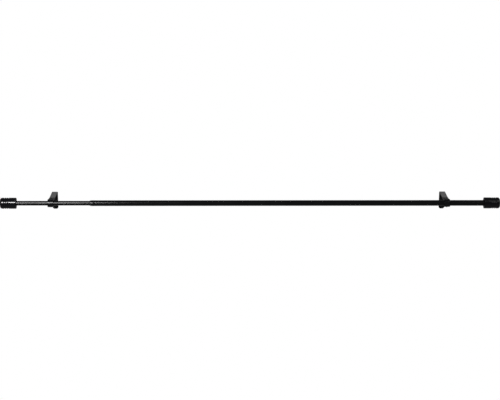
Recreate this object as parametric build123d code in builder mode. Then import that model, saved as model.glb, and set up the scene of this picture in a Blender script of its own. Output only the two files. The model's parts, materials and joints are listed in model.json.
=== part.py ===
from build123d import *
from math import acos, atan2, degrees, sqrt
import os

# A telescopic curtain rod on two bent-strip brackets, in millimetres.
# +X runs along the rod to the right, +Y points to the wall and +Z is up.
# The origin is on the rod's axis, half way between the outer ends of its two finials.

# Driving dimensions of the tubes
outer_tube_radius = 8.0
outer_tube_wall = 0.7
outer_tube_length = 1118.0
inner_tube_wall = 0.6
telescope_gap = 0.8  # radial room between the thin tube and the thick tube's bore
inner_tube_run = 206.5  # bare thin tube between the left finial and the collar
closed_end_room = 114.0  # left beyond the thin tube's end when the rod is pushed together
slide_clearance = 0.1  # radial, wherever a tube slides

# Driving dimensions of the collar on the thick tube's open end
collar_head_length = 14.0
collar_nose_length = 8.5
collar_nose_lip = 0.2  # flat front ring round the thin tube
collar_step = 0.1  # how far the head stands proud of the thick tube
collar_sleeve_length = 22.0

# Driving dimensions of the guide on the thin tube's hidden end
guide_head_length = 8.0
guide_plug_length = 16.0
guide_bore_radius = 3.0

# Driving dimensions of the finials
finial_radius = 15.5
finial_length = 44.7
finial_wall = 2.5
finial_end_wall = 4.0
finial_dome_radius = 6.5
finial_mouth_radius = 0.9
groove_count = 3
groove_first = 12.3  # outer end to the first groove's centre
groove_pitch = 5.75
groove_width = 2.9
groove_depth = 1.2
groove_edge_radius = 0.3
socket_depth = 25.0
socket_floor = 3.0
socket_clearance = 0.05
core_recess = 0.6  # core's front behind the shell's mouth
finial_screw_inset = 11.0

# Driving dimensions of the brackets
wall_distance = 100.0
strip_width = 16.0
strip_thickness = 3.0
strip_edge_radius = 0.4
arm_rise = 4.0  # arm's middle above the rod's axis
arm_bend_radius = 2.0  # inside, at the wall
eye_bend_radius = 150.0  # inside, where the arm sweeps up to the top of the eye
eye_slit = 0.8  # between the strip's end and the arm
plate_height = 51.5
plate_corner_radius = 5.5
left_bracket_inset = 96.8  # left finial's mouth to the middle of the eye
right_bracket_inset = 104.2
wall_screw_radius = 2.0
wall_screw_head_radius = 3.6
wall_screw_head_angle = 90.0
wall_screw_inset = 11.2  # plate's lower end to the lower hole's centre
wall_screw_spacing = 10.0
reducer_slit = 1.5

# Driving dimensions of the headless screws
screw_radius = 2.0
screw_clearance = 0.05
screw_tip_gap = 0.05
screw_chamfer = 0.3
hex_key_size = 2.0  # across the flats
hex_key_depth = 2.0
left_finial_screw_length = 8.0
right_finial_screw_length = 6.0
left_bracket_screw_length = 5.0
right_bracket_screw_length = 4.0

# Worked-out sizes
outer_bore_radius = outer_tube_radius - outer_tube_wall
inner_tube_radius = outer_bore_radius - telescope_gap
inner_bore_radius = inner_tube_radius - inner_tube_wall
outer_tube_run = outer_tube_length - socket_depth
inner_tube_length = socket_depth + collar_head_length + outer_tube_length - closed_end_room
set_length = 2 * finial_length + inner_tube_run + collar_head_length + outer_tube_run
finial_bore_radius = finial_radius - finial_wall
finial_bore_depth = finial_length - finial_end_wall
eye_radius = outer_tube_radius + slide_clearance
eye_outer_radius = eye_radius + strip_thickness
sliding_bore_radius = inner_tube_radius + slide_clearance
screw_hole_radius = screw_radius + screw_clearance

# Places along the rod
left_mouth_x = finial_length - set_length / 2
right_mouth_x = set_length / 2 - finial_length
inner_tube_left_x = left_mouth_x - socket_depth
outer_tube_right_x = right_mouth_x + socket_depth
outer_tube_left_x = outer_tube_right_x - outer_tube_length
collar_nose_x = outer_tube_left_x - collar_head_length
inner_tube_right_x = inner_tube_left_x + inner_tube_length
left_bracket_x = left_mouth_x + left_bracket_inset
right_bracket_x = right_mouth_x - right_bracket_inset


def save(part, name):
    part.label = name
    export_step(part, f"parts/{name}.step")


def grub_screw(x, tip, length):
    """A headless screw that points up at the tube, its tip at radius tip and its hex socket below."""
    with BuildPart() as screw:
        with BuildSketch(Plane.XY.offset(-tip)):
            with Locations((x, 0)):
                Circle(screw_radius)
        extrude(amount=-length)
        chamfer(screw.edges().filter_by(GeomType.CIRCLE), length=screw_chamfer)
        with BuildSketch(Plane.XY.offset(-tip - length)):
            with Locations((x, 0)):
                RegularPolygon(hex_key_size / 2, 6, major_radius=False)
        extrude(amount=hex_key_depth, mode=Mode.SUBTRACT)
    return screw.part


os.makedirs("parts", exist_ok=True)

# Thick tube, from its open end inside the collar to the right finial's socket
with BuildPart() as outer_tube:
    with BuildSketch(Plane.YZ.offset(outer_tube_left_x)):
        Circle(outer_tube_radius)
        Circle(outer_bore_radius, mode=Mode.SUBTRACT)
    extrude(amount=outer_tube_length)
save(outer_tube.part, "outer_tube")

# Thin tube, from the left finial's socket to its hidden end inside the thick tube
with BuildPart() as inner_tube:
    with BuildSketch(Plane.YZ.offset(inner_tube_left_x)):
        Circle(inner_tube_radius)
        Circle(inner_bore_radius, mode=Mode.SUBTRACT)
    extrude(amount=inner_tube_length)
save(inner_tube.part, "inner_tube")

# Collar: a head with a rounded nose, and a sleeve pushed into the thick tube's bore
collar_radius = outer_tube_radius + collar_step
with BuildPart() as end_collar:
    with BuildSketch(Plane.XY):
        with BuildLine():
            nose_front = (collar_nose_x, sliding_bore_radius + collar_nose_lip)
            nose_end = (collar_nose_x + collar_nose_length, collar_radius)
            TangentArc(nose_end, nose_front, tangent=(-1, 0))
            Polyline(
                nose_end,
                (outer_tube_left_x, collar_radius),
                (outer_tube_left_x, outer_bore_radius),
                (outer_tube_left_x + collar_sleeve_length, outer_bore_radius),
                (outer_tube_left_x + collar_sleeve_length, sliding_bore_radius),
                (collar_nose_x, sliding_bore_radius),
                nose_front,
            )
        make_face()
    revolve(axis=Axis.X)
save(end_collar.part, "end_collar")

# Guide: a ring head that runs in the thick tube, on a plug in the thin tube's end
with BuildPart() as tail_guide:
    with BuildSketch(Plane.YZ.offset(inner_tube_right_x)):
        Circle(outer_bore_radius - slide_clearance)
    extrude(amount=guide_head_length)
    with BuildSketch(Plane.YZ.offset(inner_tube_right_x)):
        Circle(inner_bore_radius)
    extrude(amount=-guide_plug_length)
    with BuildSketch(Plane.YZ.offset(inner_tube_right_x - guide_plug_length)):
        Circle(guide_bore_radius)
    extrude(amount=guide_plug_length + guide_head_length, mode=Mode.SUBTRACT)
save(tail_guide.part, "tail_guide")

# Finials: the same ribbed shell at both ends, with a core bored for that end's tube
for side, mouth_x, outward, tube_radius, screw_length in (
    ("left", left_mouth_x, -1, inner_tube_radius, left_finial_screw_length),
    ("right", right_mouth_x, 1, outer_tube_radius, right_finial_screw_length),
):
    mouth = Plane(origin=(mouth_x, 0, 0), x_dir=(outward, 0, 0), z_dir=(0, 0, 1))
    screw_x = mouth_x + outward * finial_screw_inset

    with BuildPart() as finial_shell:
        with BuildSketch(mouth) as shell_profile:
            with Locations((finial_length / 2, finial_radius / 2)):
                Rectangle(finial_length, finial_radius)
            outer_corners = shell_profile.vertices().group_by(Axis.Y)[-1].sort_by(Axis.X)
            fillet(outer_corners[-1], finial_dome_radius)
            fillet(outer_corners[0], finial_mouth_radius)
            with Locations((finial_bore_depth / 2, finial_bore_radius / 2)):
                Rectangle(finial_bore_depth, finial_bore_radius, mode=Mode.SUBTRACT)
            for i in range(groove_count):
                groove_x = finial_length - groove_first - i * groove_pitch
                groove_centre_y = finial_radius + groove_width / 2 - groove_depth
                with Locations((groove_x, groove_centre_y)):
                    Circle(groove_width / 2, mode=Mode.SUBTRACT)
            groove_corners = shell_profile.vertices().group_by(Axis.Y)[-1].sort_by(Axis.X)[1:-1]
            fillet(groove_corners, groove_edge_radius)
        revolve(axis=Axis.X)
        with BuildSketch(Plane.XY):
            with Locations((screw_x, 0)):
                Circle(screw_hole_radius)
        extrude(amount=-finial_radius, mode=Mode.SUBTRACT)
    save(finial_shell.part, f"{side}_finial_shell")

    with BuildPart() as finial_core:
        with BuildSketch(mouth):
            core_length = socket_depth + socket_floor - core_recess
            with Locations((core_recess + core_length / 2, finial_bore_radius / 2)):
                Rectangle(core_length, finial_bore_radius)
            socket_radius = tube_radius + socket_clearance
            with Locations((socket_depth / 2, socket_radius / 2)):
                Rectangle(socket_depth, socket_radius, mode=Mode.SUBTRACT)
        revolve(axis=Axis.X)
        with BuildSketch(Plane.XY):
            with Locations((screw_x, 0)):
                Circle(screw_hole_radius)
        extrude(amount=-finial_radius, mode=Mode.SUBTRACT)
    save(finial_core.part, f"{side}_finial_core")

    save(grub_screw(screw_x, tube_radius + screw_tip_gap, screw_length), f"{side}_finial_screw")

# Brackets: one strip each, rolled into an eye, run back as an arm and bent down as the wall plate
half_thickness = strip_thickness / 2
strip_eye_radius = eye_radius + half_thickness
eye_bend = eye_bend_radius + half_thickness
arm_bend = arm_bend_radius + half_thickness
plate_y = wall_distance - half_thickness
eye_bend_z = arm_rise + eye_bend
bend_distance = strip_eye_radius + eye_bend
eye_bend_y = sqrt(bend_distance**2 - eye_bend_z**2)
eye_start_angle = degrees(atan2(eye_bend_z, eye_bend_y))
slit_distance = eye_bend + half_thickness + eye_slit
slit_square = bend_distance**2 + eye_outer_radius**2 - slit_distance**2
eye_end_angle = eye_start_angle - degrees(acos(slit_square / (2 * bend_distance * eye_outer_radius)))
plate_bottom_z = arm_rise + half_thickness - plate_height
lower_hole_z = plate_bottom_z + wall_screw_inset
plate_top_z = arm_rise - arm_bend

for side, x, tube_radius, screw_length in (
    ("left", left_bracket_x, inner_tube_radius, left_bracket_screw_length),
    ("right", right_bracket_x, outer_tube_radius, right_bracket_screw_length),
):
    plate_front = Plane(origin=(x, wall_distance - strip_thickness, 0), x_dir=(1, 0, 0), z_dir=(0, -1, 0))

    with BuildPart() as bracket:
        with BuildSketch(Plane.YZ.offset(x - strip_width / 2)):
            with BuildLine():
                CenterArc((0, 0), strip_eye_radius, eye_start_angle, 360 + eye_end_angle - eye_start_angle)
                CenterArc((eye_bend_y, eye_bend_z), eye_bend, 180 + eye_start_angle, 90 - eye_start_angle)
                Line((eye_bend_y, arm_rise), (plate_y - arm_bend, arm_rise))
                CenterArc((plate_y - arm_bend, plate_top_z), arm_bend, 0, 90)
            trace(line_width=strip_thickness)
        extrude(amount=strip_width)
        with BuildSketch(plate_front) as plate_outline:
            with Locations((0, (plate_top_z + plate_bottom_z) / 2)):
                Rectangle(strip_width, plate_top_z - plate_bottom_z)
            fillet(plate_outline.vertices().group_by(Axis.Y)[0], plate_corner_radius)
        extrude(amount=-strip_thickness)
        side_faces = bracket.faces().filter_by(Axis.X)
        fillet(side_faces.edges(), strip_edge_radius)
        with Locations(plate_front):
            with Locations((0, lower_hole_z), (0, lower_hole_z + wall_screw_spacing)):
                CounterSinkHole(
                    wall_screw_radius,
                    wall_screw_head_radius,
                    counter_sink_angle=wall_screw_head_angle,
                )
        with BuildSketch(Plane.XY):
            with Locations((x, 0)):
                Circle(screw_hole_radius)
        extrude(amount=-eye_outer_radius, mode=Mode.SUBTRACT)
    save(bracket.part, f"{side}_bracket")

    save(grub_screw(x, tube_radius + screw_tip_gap, screw_length), f"{side}_bracket_screw")

# Reducer: a split sleeve that fills the left eye round the thin tube
with BuildPart() as reducer:
    with BuildSketch(Plane.YZ.offset(left_bracket_x - strip_width / 2)):
        Circle(eye_radius)
        Circle(sliding_bore_radius, mode=Mode.SUBTRACT)
        with Locations((eye_radius / 2, 0)):
            Rectangle(eye_radius, reducer_slit, mode=Mode.SUBTRACT)
    extrude(amount=strip_width)
    with BuildSketch(Plane.XY):
        with Locations((left_bracket_x, 0)):
            Circle(screw_hole_radius)
    extrude(amount=-eye_outer_radius, mode=Mode.SUBTRACT)
save(reducer.part, "left_bracket_reducer")

print("set length", set_length, "inner tube length", inner_tube_length)
print("collar nose at", collar_nose_x, "bracket eyes at", left_bracket_x, right_bracket_x)
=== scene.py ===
import json
import math

import bmesh
import bpy
from mathutils import Matrix, Vector


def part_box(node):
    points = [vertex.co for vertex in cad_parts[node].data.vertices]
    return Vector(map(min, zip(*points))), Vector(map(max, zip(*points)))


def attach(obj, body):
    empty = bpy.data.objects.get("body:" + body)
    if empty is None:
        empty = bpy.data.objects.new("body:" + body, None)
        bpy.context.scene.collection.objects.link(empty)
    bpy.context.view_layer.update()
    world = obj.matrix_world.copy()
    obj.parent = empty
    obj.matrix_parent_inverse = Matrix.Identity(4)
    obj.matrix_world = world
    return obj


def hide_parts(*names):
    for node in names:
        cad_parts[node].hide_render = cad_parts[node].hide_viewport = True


MM = 0.001
MICRON = 1.0e-6

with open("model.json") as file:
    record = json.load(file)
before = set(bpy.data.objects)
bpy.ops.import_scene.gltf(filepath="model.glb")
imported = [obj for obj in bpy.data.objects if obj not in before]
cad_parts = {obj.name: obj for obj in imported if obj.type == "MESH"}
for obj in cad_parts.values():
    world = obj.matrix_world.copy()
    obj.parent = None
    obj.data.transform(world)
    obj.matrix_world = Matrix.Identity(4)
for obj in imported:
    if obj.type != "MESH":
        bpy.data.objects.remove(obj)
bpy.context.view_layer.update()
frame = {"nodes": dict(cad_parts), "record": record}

# Driving values of the turned pieces, in metres
RING_STEPS = 144
SHARP_ANGLE = math.radians(35)
TUBE_WALL = {"outer_tube": 0.7 * MM, "inner_tube": 0.6 * MM}
TUBE_LIP = 0.15 * MM
GUARD_RING = 1.0 * MM  # keeps a lip's round shading off the long wall beside it
ARC_STEPS = 10
LIP_STEPS = 4
COLLAR_NOSE_LENGTH = 8.5 * MM
COLLAR_NOSE_LIP = 0.2 * MM
COLLAR_SLEEVE_LENGTH = 22.0 * MM
COLLAR_BACK_ROUND = 0.25 * MM
SLIDE_CLEARANCE = 0.1 * MM


# Turned meshes
def arc(centre, radii, start, stop, steps=LIP_STEPS):
    """Points of an elliptic arc in the (x, radius) plane, angles in degrees."""
    points = []
    for i in range(steps + 1):
        a = math.radians(start + (stop - start) * i / steps)
        points.append((centre[0] + radii[0] * math.cos(a), centre[1] + radii[1] * math.sin(a)))
    return points


def lathe(name, profile):
    """Turns a closed loop of (x, radius) points about X into a smooth mesh with crisp ends."""
    bm = bmesh.new()
    rings = []
    for k in range(RING_STEPS):
        a = 2 * math.pi * k / RING_STEPS
        rings.append([bm.verts.new((x, r * math.cos(a), r * math.sin(a))) for x, r in profile])
    for k in range(RING_STEPS):
        here, there = rings[k], rings[(k + 1) % RING_STEPS]
        for i in range(len(profile)):
            j = (i + 1) % len(profile)
            bm.faces.new((here[i], here[j], there[j], there[i]))
    bmesh.ops.recalc_face_normals(bm, faces=bm.faces)
    for face in bm.faces:
        face.smooth = True
    for edge in bm.edges:
        edge.smooth = edge.calc_face_angle(0.0) < SHARP_ANGLE
    mesh = bpy.data.meshes.new(name)
    bm.to_mesh(mesh)
    bm.free()
    return placed(name, mesh)


def placed(name, data):
    """A new object with this data, linked into the scene."""
    thing = bpy.data.objects.new(name, data)
    bpy.context.scene.collection.objects.link(thing)
    return thing


def stand_for(piece, node, body, slot):
    """The piece takes the place of a CAD node: it joins the body, takes the material of the slot,
    and the node is hidden.
    """
    piece.data.materials.append(PAINTS[slot])
    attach(piece, body)
    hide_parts(node)


# Materials
NOISE_LOW, NOISE_HIGH = 0.3, 0.7  # most of a noise's values lie between these
MIX_FACTOR, MIX_A, MIX_B, MIX_RESULT = 0, 6, 7, 2  # a colour mix's sockets, which share names


class Finish:
    """A Principled material whose colour, roughness and relief come from procedural noise."""

    def __init__(self, name, roughness, ior=1.5, metallic=0.0, coat=0.0, coat_roughness=0.05):
        self.material = bpy.data.materials.new(name)
        self.material.use_nodes = True
        self.tree = self.material.node_tree
        self.shader = self.tree.nodes["Principled BSDF"]
        self.shader.inputs["Roughness"].default_value = roughness
        self.shader.inputs["IOR"].default_value = ior
        self.shader.inputs["Metallic"].default_value = metallic
        self.shader.inputs["Coat Weight"].default_value = coat
        self.shader.inputs["Coat Roughness"].default_value = coat_roughness
        self.place = self.tree.nodes.new("ShaderNodeTexCoord")
        self.normal = None

    def noise(self, cells_per_metre, detail=2.0):
        """Noise with its own number of cells per metre along X, Y and Z."""
        mapping = self.tree.nodes.new("ShaderNodeMapping")
        mapping.inputs["Scale"].default_value = cells_per_metre
        self.tree.links.new(self.place.outputs["Object"], mapping.inputs["Vector"])
        noise = self.tree.nodes.new("ShaderNodeTexNoise")
        noise.inputs["Scale"].default_value = 1.0
        noise.inputs["Detail"].default_value = detail
        self.tree.links.new(mapping.outputs["Vector"], noise.inputs["Vector"])
        return noise.outputs["Fac"]

    def vary(self, source, low, high):
        """Maps the middle of a noise to the range from low to high."""
        ramp = self.tree.nodes.new("ShaderNodeMapRange")
        ramp.inputs["From Min"].default_value = NOISE_LOW
        ramp.inputs["From Max"].default_value = NOISE_HIGH
        ramp.inputs["To Min"].default_value = low
        ramp.inputs["To Max"].default_value = high
        self.tree.links.new(source, ramp.inputs["Value"])
        return ramp.outputs["Result"]

    def colour(self, source, dark, light):
        mix = self.tree.nodes.new("ShaderNodeMix")
        mix.data_type = "RGBA"
        mix.inputs[MIX_A].default_value = (*dark, 1)
        mix.inputs[MIX_B].default_value = (*light, 1)
        self.tree.links.new(self.vary(source, 0.0, 1.0), mix.inputs[MIX_FACTOR])
        self.tree.links.new(mix.outputs[MIX_RESULT], self.shader.inputs["Base Color"])

    def roughness(self, source, low, high):
        self.tree.links.new(self.vary(source, low, high), self.shader.inputs["Roughness"])

    def bump(self, source, height):
        """Adds a layer of relief, its height in metres."""
        bump = self.tree.nodes.new("ShaderNodeBump")
        bump.inputs["Distance"].default_value = height
        self.tree.links.new(source, bump.inputs["Height"])
        if self.normal:
            self.tree.links.new(self.normal, bump.inputs["Normal"])
        self.normal = bump.outputs["Normal"]
        self.tree.links.new(self.normal, self.shader.inputs["Normal"])


def even(cells_per_metre):
    return (cells_per_metre,) * 3


def tube_paint():
    """Gloss black enamel on drawn tube: faint lengthwise draw lines and an even orange peel."""
    finish = Finish("tube_enamel", roughness=0.13)
    draw_lines = finish.noise((9.0, 1400.0, 1400.0), detail=3.0)
    clouds = finish.noise(even(45.0))
    finish.colour(clouds, dark=(0.0055, 0.0056, 0.0062), light=(0.0085, 0.0086, 0.0094))
    finish.roughness(draw_lines, low=0.1, high=0.16)
    finish.bump(draw_lines, height=1.0 * MICRON)
    finish.bump(finish.noise(even(420.0)), height=0.8 * MICRON)
    return finish.material


def collar_plastic():
    """Moulded black plastic, a little softer in gloss than the enamel."""
    finish = Finish("collar_moulding", roughness=0.2, ior=1.46)
    clouds = finish.noise(even(120.0))
    finish.colour(clouds, dark=(0.0055, 0.0055, 0.006), light=(0.009, 0.009, 0.0098))
    finish.roughness(finish.noise(even(260.0)), low=0.16, high=0.24)
    finish.bump(finish.noise(even(1800.0), detail=4.0), height=2.0 * MICRON)
    return finish.material


def finial_paint():
    """High-gloss bluish black under a clear coat, with a slight orange peel."""
    finish = Finish("finial_lacquer", roughness=0.1, coat=0.4, coat_roughness=0.04)
    clouds = finish.noise(even(60.0))
    finish.colour(clouds, dark=(0.0042, 0.0045, 0.0062), light=(0.0062, 0.0066, 0.0088))
    finish.roughness(finish.noise(even(150.0)), low=0.07, high=0.13)
    finish.bump(finish.noise(even(380.0)), height=1.0 * MICRON)
    return finish.material


def strip_paint():
    """Satin black powder coat on bent steel strip: a pebbled skin with soft broad variation."""
    finish = Finish("strip_powder_coat", roughness=0.175)
    clouds = finish.noise(even(90.0))
    finish.colour(clouds, dark=(0.006, 0.006, 0.0066), light=(0.0105, 0.0105, 0.0114))
    finish.roughness(finish.noise(even(300.0), detail=3.0), low=0.14, high=0.21)
    finish.bump(finish.noise(even(650.0)), height=3.0 * MICRON)
    finish.bump(finish.noise(even(2600.0), detail=3.0), height=3.0 * MICRON)
    return finish.material


def core_plastic():
    """Matte black moulded insert with a fine spark-eroded grain."""
    finish = Finish("insert_moulding", roughness=0.5, ior=1.46)
    clouds = finish.noise(even(200.0))
    finish.colour(clouds, dark=(0.011, 0.011, 0.0115), light=(0.017, 0.017, 0.0178))
    finish.roughness(finish.noise(even(900.0), detail=3.0), low=0.42, high=0.58)
    finish.bump(finish.noise(even(3200.0), detail=3.0), height=10.0 * MICRON)
    return finish.material


def guide_plastic():
    """Undyed grey nylon of the hidden guide, with flow marks from the mould."""
    finish = Finish("guide_nylon", roughness=0.4, ior=1.53)
    flow_marks = finish.noise((60.0, 300.0, 300.0), detail=3.0)
    finish.colour(flow_marks, dark=(0.31, 0.31, 0.3), light=(0.39, 0.39, 0.38))
    finish.roughness(finish.noise(even(700.0)), low=0.34, high=0.48)
    finish.bump(finish.noise(even(1500.0), detail=3.0), height=6.0 * MICRON)
    return finish.material


def screw_steel():
    """Black-oxide steel of the headless screws, mottled, with turning marks round the axis."""
    finish = Finish("black_oxide_steel", roughness=0.35, metallic=0.85)
    mottle = finish.noise(even(900.0), detail=3.0)
    finish.colour(mottle, dark=(0.03, 0.03, 0.033), light=(0.075, 0.075, 0.08))
    finish.roughness(finish.noise(even(1600.0), detail=3.0), low=0.28, high=0.44)
    finish.bump(finish.noise((300.0, 300.0, 6000.0)), height=6.0 * MICRON)
    return finish.material


PAINTS = {
    "painted_tube": tube_paint(),
    "painted_strip": strip_paint(),
    "gloss_finial": finial_paint(),
    "collar_plastic": collar_plastic(),
    "core_plastic": core_plastic(),
    "guide_plastic": guide_plastic(),
    "black_screw": screw_steel(),
}
for subpart in frame["record"]["subparts"]:
    node = frame["nodes"][subpart["node"]]
    node.data.materials.clear()
    node.data.materials.append(PAINTS[subpart["material_slot"]])

# Tubes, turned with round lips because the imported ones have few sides
for node, body in (("outer_tube", "outer_rod"), ("inner_tube", "inner_rod")):
    low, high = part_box(node)
    outside = (high.y - low.y) / 2
    inside = outside - TUBE_WALL[node]
    lip = (TUBE_LIP, TUBE_LIP)
    profile = [
        *arc((low.x + TUBE_LIP, outside - TUBE_LIP), lip, 180, 90),
        (low.x + GUARD_RING, outside),
        (high.x - GUARD_RING, outside),
        *arc((high.x - TUBE_LIP, outside - TUBE_LIP), lip, 90, 0),
        *arc((high.x - TUBE_LIP, inside + TUBE_LIP), lip, 0, -90),
        (high.x - GUARD_RING, inside),
        (low.x + GUARD_RING, inside),
        *arc((low.x + TUBE_LIP, inside + TUBE_LIP), lip, 270, 180),
    ]
    stand_for(lathe(node + "_turned", profile), node, body, "painted_tube")

# Collar, turned with its round nose and the sleeve inside the thick tube
low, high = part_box("end_collar")
thick_low, thick_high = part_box("outer_tube")
thin_low, thin_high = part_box("inner_tube")
collar_radius = (high.y - low.y) / 2
collar_bore = (thin_high.y - thin_low.y) / 2 + SLIDE_CLEARANCE
sleeve_radius = (thick_high.y - thick_low.y) / 2 - TUBE_WALL["outer_tube"]
sleeve_end = thick_low.x + COLLAR_SLEEVE_LENGTH
nose = (COLLAR_NOSE_LENGTH, collar_radius - collar_bore - COLLAR_NOSE_LIP)
back_round = (COLLAR_BACK_ROUND, COLLAR_BACK_ROUND)
back_centre = (thick_low.x - COLLAR_BACK_ROUND, collar_radius - COLLAR_BACK_ROUND)
profile = [
    (low.x, collar_bore),
    *arc((low.x + nose[0], collar_radius - nose[1]), nose, 180, 90, ARC_STEPS),
    *arc(back_centre, back_round, 90, 0),
    (thick_low.x, sleeve_radius),
    (sleeve_end, sleeve_radius),
    (sleeve_end, collar_bore),
]
stand_for(lathe("end_collar_turned", profile), "end_collar", "outer_rod", "collar_plastic")

# Camera: it stands in front of the rod and a little above it, and the whole set fills the frame
CAMERA_DISTANCE = 3.9
CAMERA_ELEVATION = math.radians(16.7)
CAMERA_X = -0.03
FRAME_WIDTH = 1.403  # what the picture's width takes in at the rod
AIM_X = -0.0008
SENSOR = 36.0
ROD_BELOW_CENTRE = 0.0086
ROLL = math.radians(0.09)
FAR_CLIP = 100.0

camera_data = bpy.data.cameras.new("camera")
camera = placed("camera", camera_data)
bpy.context.scene.camera = camera
camera_data.sensor_width = SENSOR
camera_data.lens = SENSOR * CAMERA_DISTANCE / FRAME_WIDTH
camera_data.clip_end = FAR_CLIP
target = Vector((AIM_X, 0, ROD_BELOW_CENTRE / math.cos(CAMERA_ELEVATION)))
back = Vector((
    CAMERA_X,
    -CAMERA_DISTANCE * math.cos(CAMERA_ELEVATION),
    CAMERA_DISTANCE * math.sin(CAMERA_ELEVATION),
))
camera.location = target + back
camera.rotation_mode = "QUATERNION"
turn = (-back).to_track_quat("-Z", "Y").to_matrix().to_4x4() @ Matrix.Rotation(ROLL, 4, "Z")
camera.rotation_quaternion = turn.to_quaternion()

# Light
bpy.context.scene.view_settings.view_transform = "Standard"

LAMP_DISTANCE = 3.0
FRONT_ELEVATION = math.radians(33)  # makes the highlight along the left finial and the thin tube
HIGH_ELEVATION = math.radians(56)  # makes the faint streak on the right finial


def softbox(name, x, elevation, size, power):
    """A soft lamp in front of the rod that faces the point x on it from this elevation."""
    data = bpy.data.lights.new(name, "AREA")
    data.shape = "RECTANGLE"
    data.size, data.size_y = size
    data.energy = power
    lamp = placed(name, data)
    away = Vector((0, -math.cos(elevation), math.sin(elevation)))
    lamp.location = Vector((x, 0, 0)) + away * LAMP_DISTANCE
    lamp.rotation_mode = "QUATERNION"
    lamp.rotation_quaternion = (-away).to_track_quat("-Z", "Y")
    lamp.visible_camera = False


softbox("finial_softbox", x=-1.585, elevation=FRONT_ELEVATION, size=(0.93, 0.6), power=43)
softbox("left_softbox", x=-0.935, elevation=FRONT_ELEVATION, size=(0.35, 1.2), power=18)
softbox("right_softbox", x=2.22, elevation=HIGH_ELEVATION, size=(2.0, 0.5), power=6.5)


def nodes_of(tree, output_type):
    """Empties a node tree and returns its output node."""
    tree.nodes.clear()
    return tree.nodes.new(output_type)


def ramp_of(tree, source, start, stop, low, high):
    """A smooth step from low to high while the source goes from start to stop."""
    ramp = tree.nodes.new("ShaderNodeMapRange")
    ramp.interpolation_type = "SMOOTHSTEP"
    ramp.inputs["From Min"].default_value = start
    ramp.inputs["From Max"].default_value = stop
    ramp.inputs["To Min"].default_value = low
    ramp.inputs["To Max"].default_value = high
    tree.links.new(source, ramp.inputs["Value"])
    return ramp.outputs["Result"]


def combine(tree, operation, a, b):
    maths = tree.nodes.new("ShaderNodeMath")
    maths.operation = operation
    tree.links.new(a, maths.inputs[0])
    tree.links.new(b, maths.inputs[1])
    return maths.outputs["Value"]


def choose(tree, factor, a, b):
    """A mix of two shaders: a where the factor is 0, b where it is 1."""
    mix = tree.nodes.new("ShaderNodeMixShader")
    tree.links.new(factor, mix.inputs[0])
    tree.links.new(a, mix.inputs[1])
    tree.links.new(b, mix.inputs[2])
    return mix.outputs["Shader"]


# Room: white for the camera. For other rays dim in front of the rod, a little paler low down,
# and behind the rod a pale band. Heights and depths are parts of a direction's length.
ROOM_FRONT = 0.07
ROOM_LOW = 0.06
ROOM_BACK = 0.6
PALE_FROM = 0.7
PALE_FULL = 0.85
BAND_HEIGHT = 0.29
BAND_FULL = 0.045
BAND_NONE = 0.1
LOW_FROM = 0.1
LOW_FULL = 0.7

world = bpy.data.worlds.new("world")
bpy.context.scene.world = world
world.use_nodes = True
tree = world.node_tree
output = nodes_of(tree, "ShaderNodeOutputWorld")
white = tree.nodes.new("ShaderNodeBackground")
white.inputs["Color"].default_value = (1, 1, 1, 1)
room = tree.nodes.new("ShaderNodeBackground")
path = tree.nodes.new("ShaderNodeLightPath")
direction = tree.nodes.new("ShaderNodeTexCoord")
split = tree.nodes.new("ShaderNodeSeparateXYZ")
tree.links.new(direction.outputs["Generated"], split.inputs["Vector"])
depth, height = split.outputs["Y"], split.outputs["Z"]
behind = ramp_of(tree, depth, PALE_FROM, PALE_FULL, 0, ROOM_BACK)
rising = ramp_of(tree, height, BAND_HEIGHT - BAND_NONE, BAND_HEIGHT - BAND_FULL, 0, 1)
falling = ramp_of(tree, height, BAND_HEIGHT + BAND_FULL, BAND_HEIGHT + BAND_NONE, 1, 0)
band = combine(tree, "MULTIPLY", rising, falling)
low_down = ramp_of(tree, height, -LOW_FULL, -LOW_FROM, ROOM_FRONT + ROOM_LOW, ROOM_FRONT)
strength = combine(tree, "ADD", combine(tree, "MULTIPLY", behind, band), low_down)
tree.links.new(strength, room.inputs["Strength"])
camera_ray = path.outputs["Is Camera Ray"]
surface = choose(tree, camera_ray, room.outputs["Background"], white.outputs["Background"])
tree.links.new(surface, output.inputs["Surface"])

# Floor far below the hung rod: white for the camera, pale for other rays, clear from underneath
FLOOR_Z = -1.2
FLOOR_NEAR = 0.3
FLOOR_FAR = 16.0
FLOOR_HALF_WIDTH = 8.0
FLOOR_COLOUR = (0.8, 0.8, 0.8, 1)

mesh = bpy.data.meshes.new("floor")
corners = [
    (-FLOOR_HALF_WIDTH, FLOOR_NEAR, FLOOR_Z),
    (FLOOR_HALF_WIDTH, FLOOR_NEAR, FLOOR_Z),
    (FLOOR_HALF_WIDTH, FLOOR_FAR, FLOOR_Z),
    (-FLOOR_HALF_WIDTH, FLOOR_FAR, FLOOR_Z),
]
mesh.from_pydata(corners, [], [(0, 1, 2, 3)])
floor = placed("floor", mesh)

paint = bpy.data.materials.new("floor_paint")
paint.use_nodes = True
mesh.materials.append(paint)
tree = paint.node_tree
output = nodes_of(tree, "ShaderNodeOutputMaterial")
pale = tree.nodes.new("ShaderNodeBsdfDiffuse")
pale.inputs["Color"].default_value = FLOOR_COLOUR
white = tree.nodes.new("ShaderNodeEmission")
clear = tree.nodes.new("ShaderNodeBsdfTransparent")
path = tree.nodes.new("ShaderNodeLightPath")
facing = tree.nodes.new("ShaderNodeNewGeometry")
seen = combine(tree, "MAXIMUM", path.outputs["Is Camera Ray"], path.outputs["Is Transmission Ray"])
top = choose(tree, seen, pale.outputs["BSDF"], white.outputs["Emission"])
surface = choose(tree, facing.outputs["Backfacing"], top, clear.outputs["BSDF"])
tree.links.new(surface, output.inputs["Surface"])
